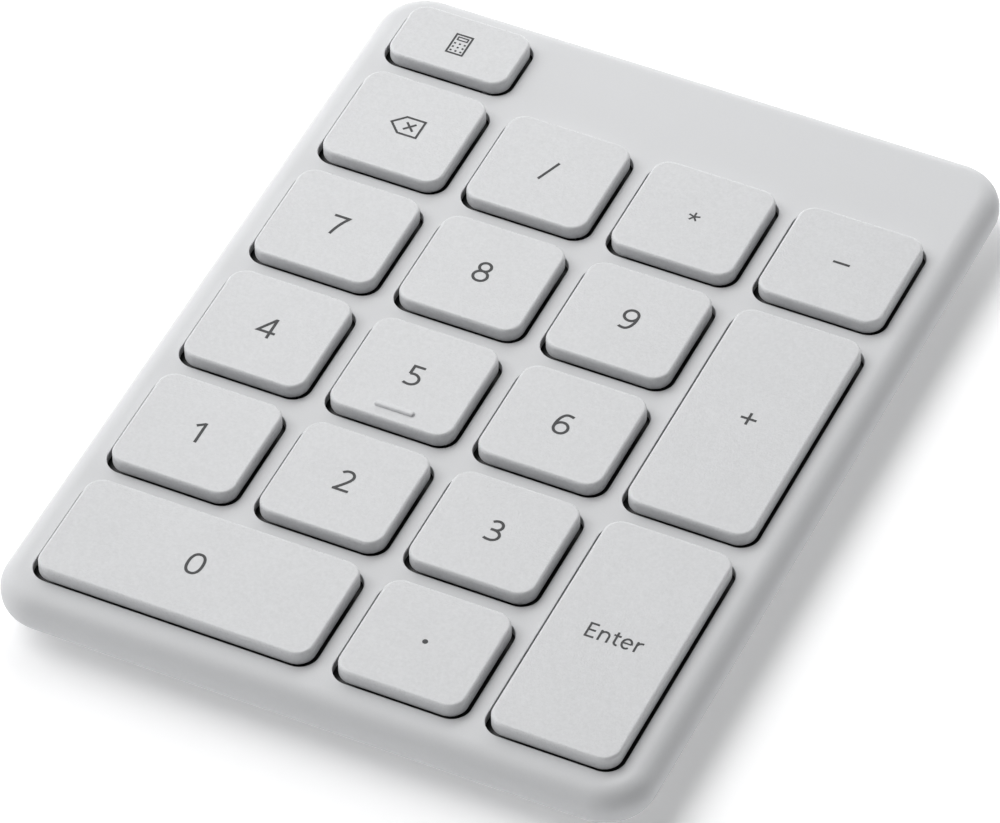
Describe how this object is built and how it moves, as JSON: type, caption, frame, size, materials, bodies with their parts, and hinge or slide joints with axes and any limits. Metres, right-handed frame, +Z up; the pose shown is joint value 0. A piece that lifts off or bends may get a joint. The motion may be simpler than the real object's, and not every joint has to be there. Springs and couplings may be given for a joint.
{
  "type": "numeric keypad",
  "caption": "Slim wireless numeric keypad: low-profile keys on scissor frames in a rounded light grey case, with a coin-cell bay underneath.",
  "frame": {"origin": "middle of the case on the desk surface, under the centre of its bounding box", "axes": "+X to the typist's right, +Y towards the back of the keypad, +Z up out of the keys"},
  "size_m": [0.0816, 0.1104, 0.0097],
  "materials": {
    "upper_shell": "fine satin moulded plastic, light cool grey",
    "lower_shell": "matte moulded plastic, light grey",
    "key_plastic": "fine matte grain, light cool grey",
    "scissor_plastic": "natural moulded plastic",
    "screw_steel": "zinc-plated",
    "foot_rubber": "soft matte grey rubber",
    "button_plastic": "matte moulded plastic, mid grey",
    "light_pipe": "clear moulded light pipe",
    "plate_steel": "stamped galvanised sheet",
    "wire_steel": "drawn spring wire",
    "membrane_film": "translucent polyester film with printed conductors",
    "dome_rubber": "translucent silicone rubber",
    "board_laminate": "green solder mask",
    "chip_resin": "black moulded resin",
    "component_metal": "tinned ends on ceramic bodies",
    "connector_plastic": "ivory moulded plastic",
    "cell_steel": "bright rolled steel",
    "contact_metal": "plated spring strip",
    "amber_film": "amber insulating film",
    "legend_ink": "dark grey printed ink"
  },
  "bodies": {
    "case": {"top_case": "upper_shell", "bottom_case": "lower_shell", "case_screws": "screw_steel", "rubber_feet": "foot_rubber", "status_light": "light_pipe", "support_plate": "plate_steel", "membrane_bottom": "membrane_film", "membrane_spacer": "membrane_film", "membrane_top": "membrane_film", "rubber_domes": "dome_rubber", "circuit_board": "board_laminate", "radio_chip": "chip_resin", "board_components": "component_metal", "membrane_connector": "connector_plastic", "pair_switch": "chip_resin", "coin_cell": "cell_steel", "positive_contact": "contact_metal", "negative_contact": "contact_metal", "insulating_film": "amber_film", "scissor_0": "scissor_plastic", "scissor_dot": "scissor_plastic", "scissor_enter": "scissor_plastic", "scissor_1": "scissor_plastic", "scissor_2": "scissor_plastic", "scissor_3": "scissor_plastic", "scissor_4": "scissor_plastic", "scissor_5": "scissor_plastic", "scissor_6": "scissor_plastic", "scissor_7": "scissor_plastic", "scissor_8": "scissor_plastic", "scissor_9": "scissor_plastic", "scissor_plus": "scissor_plastic", "scissor_backspace": "scissor_plastic", "scissor_divide": "scissor_plastic", "scissor_multiply": "scissor_plastic", "scissor_minus": "scissor_plastic", "scissor_calculator": "scissor_plastic"},
    "cell_cover": {"battery_door": "lower_shell"},
    "pairing_key": {"pair_button": "button_plastic"},
    "cap_0": {"key_0": "key_plastic"},
    "cap_dot": {"key_dot": "key_plastic"},
    "cap_enter": {"key_enter": "key_plastic"},
    "cap_1": {"key_1": "key_plastic"},
    "cap_2": {"key_2": "key_plastic"},
    "cap_3": {"key_3": "key_plastic"},
    "cap_4": {"key_4": "key_plastic"},
    "cap_5": {"key_5": "key_plastic"},
    "cap_6": {"key_6": "key_plastic"},
    "cap_7": {"key_7": "key_plastic"},
    "cap_8": {"key_8": "key_plastic"},
    "cap_9": {"key_9": "key_plastic"},
    "cap_plus": {"key_plus": "key_plastic"},
    "cap_backspace": {"key_backspace": "key_plastic"},
    "cap_divide": {"key_divide": "key_plastic"},
    "cap_multiply": {"key_multiply": "key_plastic"},
    "cap_minus": {"key_minus": "key_plastic"},
    "cap_calculator": {"key_calculator": "key_plastic"},
    "wire_0": {"stabiliser_0": "wire_steel"},
    "wire_plus": {"stabiliser_plus": "wire_steel"},
    "wire_enter": {"stabiliser_enter": "wire_steel"}
  },
  "joints": [
    {"name": "key_0_press", "type": "slide", "parent": "case", "child": "cap_0", "axis": [0, 0, -1], "range_m": [0, 0.0013], "stiffness_N_per_m": 300, "springref_m": -0.0008, "deforming": ["scissor_0", "rubber_domes"]},
    {"name": "key_dot_press", "type": "slide", "parent": "case", "child": "cap_dot", "axis": [0, 0, -1], "range_m": [0, 0.0013], "stiffness_N_per_m": 300, "springref_m": -0.0008, "deforming": ["scissor_dot", "rubber_domes"]},
    {"name": "key_enter_press", "type": "slide", "parent": "case", "child": "cap_enter", "axis": [0, 0, -1], "range_m": [0, 0.0013], "stiffness_N_per_m": 300, "springref_m": -0.0008, "deforming": ["scissor_enter", "rubber_domes"]},
    {"name": "key_1_press", "type": "slide", "parent": "case", "child": "cap_1", "axis": [0, 0, -1], "range_m": [0, 0.0013], "stiffness_N_per_m": 300, "springref_m": -0.0008, "deforming": ["scissor_1", "rubber_domes"]},
    {"name": "key_2_press", "type": "slide", "parent": "case", "child": "cap_2", "axis": [0, 0, -1], "range_m": [0, 0.0013], "stiffness_N_per_m": 300, "springref_m": -0.0008, "deforming": ["scissor_2", "rubber_domes"]},
    {"name": "key_3_press", "type": "slide", "parent": "case", "child": "cap_3", "axis": [0, 0, -1], "range_m": [0, 0.0013], "stiffness_N_per_m": 300, "springref_m": -0.0008, "deforming": ["scissor_3", "rubber_domes"]},
    {"name": "key_4_press", "type": "slide", "parent": "case", "child": "cap_4", "axis": [0, 0, -1], "range_m": [0, 0.0013], "stiffness_N_per_m": 300, "springref_m": -0.0008, "deforming": ["scissor_4", "rubber_domes"]},
    {"name": "key_5_press", "type": "slide", "parent": "case", "child": "cap_5", "axis": [0, 0, -1], "range_m": [0, 0.0013], "stiffness_N_per_m": 300, "springref_m": -0.0008, "deforming": ["scissor_5", "rubber_domes"]},
    {"name": "key_6_press", "type": "slide", "parent": "case", "child": "cap_6", "axis": [0, 0, -1], "range_m": [0, 0.0013], "stiffness_N_per_m": 300, "springref_m": -0.0008, "deforming": ["scissor_6", "rubber_domes"]},
    {"name": "key_7_press", "type": "slide", "parent": "case", "child": "cap_7", "axis": [0, 0, -1], "range_m": [0, 0.0013], "stiffness_N_per_m": 300, "springref_m": -0.0008, "deforming": ["scissor_7", "rubber_domes"]},
    {"name": "key_8_press", "type": "slide", "parent": "case", "child": "cap_8", "axis": [0, 0, -1], "range_m": [0, 0.0013], "stiffness_N_per_m": 300, "springref_m": -0.0008, "deforming": ["scissor_8", "rubber_domes"]},
    {"name": "key_9_press", "type": "slide", "parent": "case", "child": "cap_9", "axis": [0, 0, -1], "range_m": [0, 0.0013], "stiffness_N_per_m": 300, "springref_m": -0.0008, "deforming": ["scissor_9", "rubber_domes"]},
    {"name": "key_plus_press", "type": "slide", "parent": "case", "child": "cap_plus", "axis": [0, 0, -1], "range_m": [0, 0.0013], "stiffness_N_per_m": 300, "springref_m": -0.0008, "deforming": ["scissor_plus", "rubber_domes"]},
    {"name": "key_backspace_press", "type": "slide", "parent": "case", "child": "cap_backspace", "axis": [0, 0, -1], "range_m": [0, 0.0013], "stiffness_N_per_m": 300, "springref_m": -0.0008, "deforming": ["scissor_backspace", "rubber_domes"]},
    {"name": "key_divide_press", "type": "slide", "parent": "case", "child": "cap_divide", "axis": [0, 0, -1], "range_m": [0, 0.0013], "stiffness_N_per_m": 300, "springref_m": -0.0008, "deforming": ["scissor_divide", "rubber_domes"]},
    {"name": "key_multiply_press", "type": "slide", "parent": "case", "child": "cap_multiply", "axis": [0, 0, -1], "range_m": [0, 0.0013], "stiffness_N_per_m": 300, "springref_m": -0.0008, "deforming": ["scissor_multiply", "rubber_domes"]},
    {"name": "key_minus_press", "type": "slide", "parent": "case", "child": "cap_minus", "axis": [0, 0, -1], "range_m": [0, 0.0013], "stiffness_N_per_m": 300, "springref_m": -0.0008, "deforming": ["scissor_minus", "rubber_domes"]},
    {"name": "key_calculator_press", "type": "slide", "parent": "case", "child": "cap_calculator", "axis": [0, 0, -1], "range_m": [0, 0.0013], "stiffness_N_per_m": 300, "springref_m": -0.0008, "deforming": ["scissor_calculator", "rubber_domes"]},
    {"name": "wire_0_tilt", "type": "hinge", "parent": "case", "child": "wire_0", "pos_m": [-0.019, -0.04184, 0.006], "axis": [-1, 0, 0], "range_deg": [0, 14.98]},
    {"name": "wire_plus_tilt", "type": "hinge", "parent": "case", "child": "wire_plus", "pos_m": [0.02738, 0.00324, 0.006], "axis": [0, -1, 0], "range_deg": [0, 14.98]},
    {"name": "wire_enter_tilt", "type": "hinge", "parent": "case", "child": "wire_enter", "pos_m": [0.02738, -0.03372, 0.006], "axis": [0, -1, 0], "range_deg": [0, 14.98]},
    {"name": "battery_door_turn", "type": "hinge", "parent": "case", "child": "cell_cover", "pos_m": [0.0185, 0.0372, 0.0006], "axis": [0, 0, -1], "range_deg": [0, 40]},
    {"name": "pair_button_press", "type": "slide", "parent": "case", "child": "pairing_key", "axis": [0, 0, 1], "range_m": [0, 0.00025], "stiffness_N_per_m": 800, "springref_m": -0.0003}
  ],
  "couplings": [
    {"joint": "wire_0_tilt", "follows": "key_0_press", "rad_per_m": 200.38},
    {"joint": "wire_plus_tilt", "follows": "key_plus_press", "rad_per_m": 200.38},
    {"joint": "wire_enter_tilt", "follows": "key_enter_press", "rad_per_m": 200.38}
  ]
}
